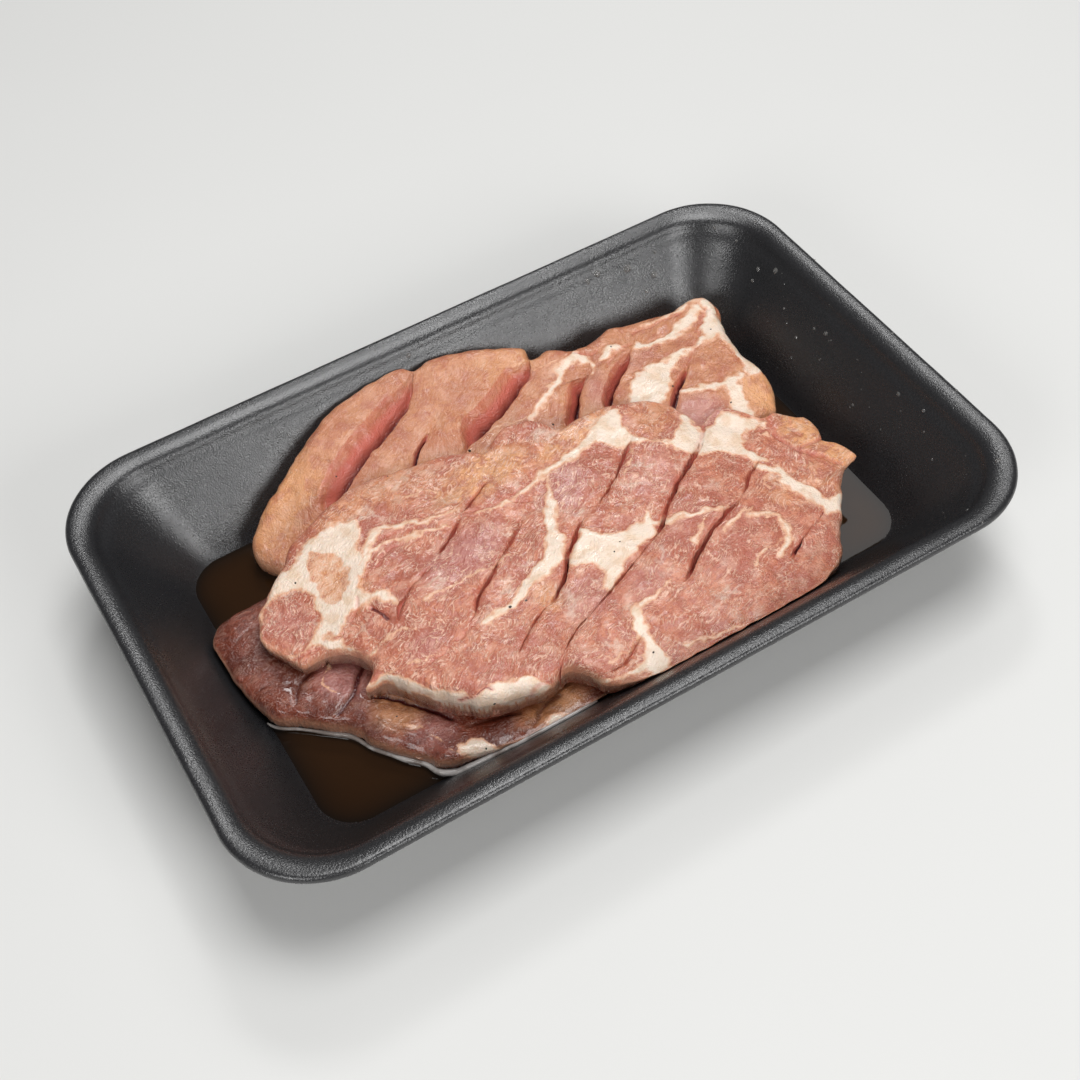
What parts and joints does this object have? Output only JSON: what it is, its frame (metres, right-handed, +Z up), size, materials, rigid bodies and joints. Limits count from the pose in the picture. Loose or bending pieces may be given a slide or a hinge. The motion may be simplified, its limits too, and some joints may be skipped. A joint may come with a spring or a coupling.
{
  "type": "meat tray pack",
  "caption": "Black foam supermarket tray with sloped walls and a rolled rim, holding scored raw pork neck steaks laid over each other in a little brown meat juice.",
  "frame": {"origin": "on the ground under the middle of the tray", "axes": "+X along the tray's length, +Y to the long side where the back steak leans on the wall, +Z up"},
  "size_m": [0.23, 0.15, 0.033],
  "materials": {
    "black_foam": "black expanded foam with a fine orange-peel grain and a soft sheen",
    "meat_juice": "thin brown liquid, wet and clear enough to show the black floor",
    "wet_brown_meat": "raw pork soaked brown, wet and glossy",
    "pale_orange_meat": "raw pork, pale orange pink with cream fat, moist",
    "marbled_pink_meat": "raw pork neck, salmon pink marbled with cream fat, moist"
  },
  "bodies": {
    "root": {"tray": "black_foam", "juice_front_pool": "meat_juice", "juice_back_pool": "meat_juice", "steak_bottom": "wet_brown_meat", "steak_back": "pale_orange_meat", "steak_top": "marbled_pink_meat"}
  },
  "joints": []
}
